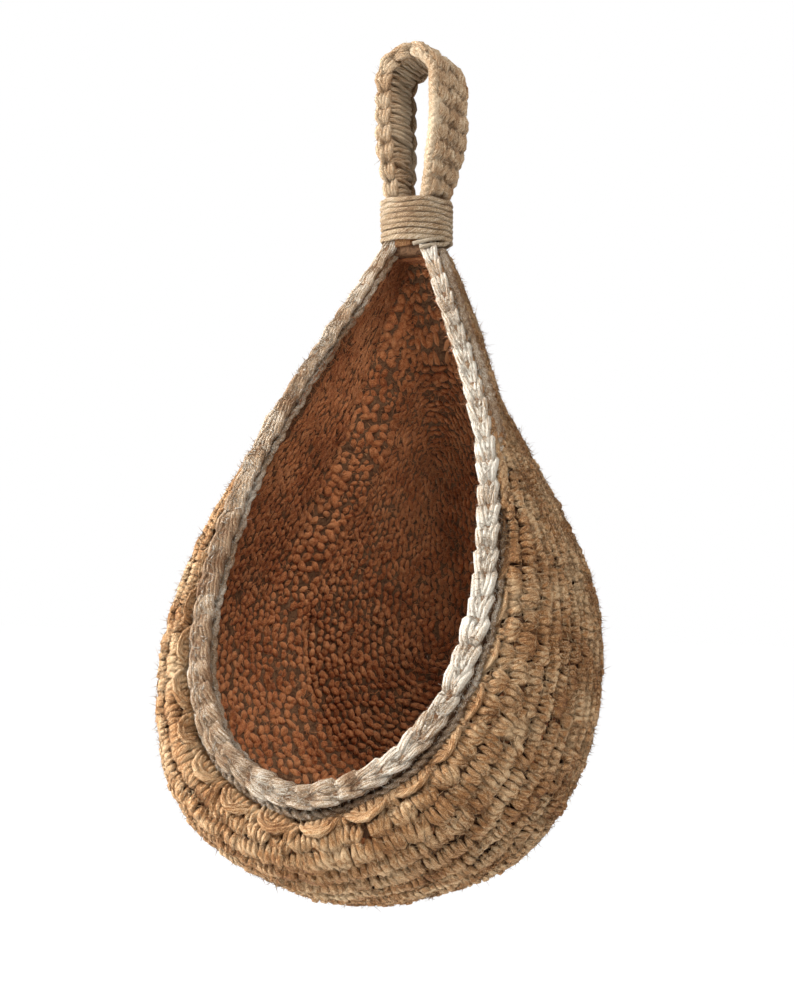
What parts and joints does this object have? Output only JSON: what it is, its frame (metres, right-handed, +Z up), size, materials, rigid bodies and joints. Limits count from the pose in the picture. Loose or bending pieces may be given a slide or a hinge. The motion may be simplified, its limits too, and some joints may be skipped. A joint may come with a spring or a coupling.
{
  "type": "hanging fruit basket",
  "caption": "Crocheted teardrop wall basket in jute twine, open at the front, with a flat back, a braided rim and a hanging loop gathered and bound at the neck.",
  "frame": {"origin": "the hook seat: the underside of the hanging loop's crown, where the hook carries it", "axes": "+Z up, -Y out of the mouth, +Y into the wall, +X to the right seen from the front"},
  "size_m": [0.2136, 0.1607, 0.426],
  "materials": {
    "jute_bag": "crocheted natural jute twine, single crochet, matt and slightly hairy",
    "jute_edging": "braided slip-stitch edging in natural jute twine, matt",
    "jute_binding": "wound thin jute twine, matt",
    "jute_strap": "crocheted flat strap in natural jute twine, matt"
  },
  "bodies": {
    "loop": {"hanging_loop": "jute_strap"},
    "basket": {"bag_wall": "jute_bag", "back_panel": "jute_bag", "mouth_edging": "jute_edging", "neck_gather": "jute_bag", "neck_binding": "jute_binding"}
  },
  "joints": [
    {"name": "loop_sway", "type": "hinge", "parent": "loop", "child": "basket", "pos_m": [0, 0, -0.0575], "axis": [0, 1, 0], "range_deg": [-45, 45]}
  ]
}
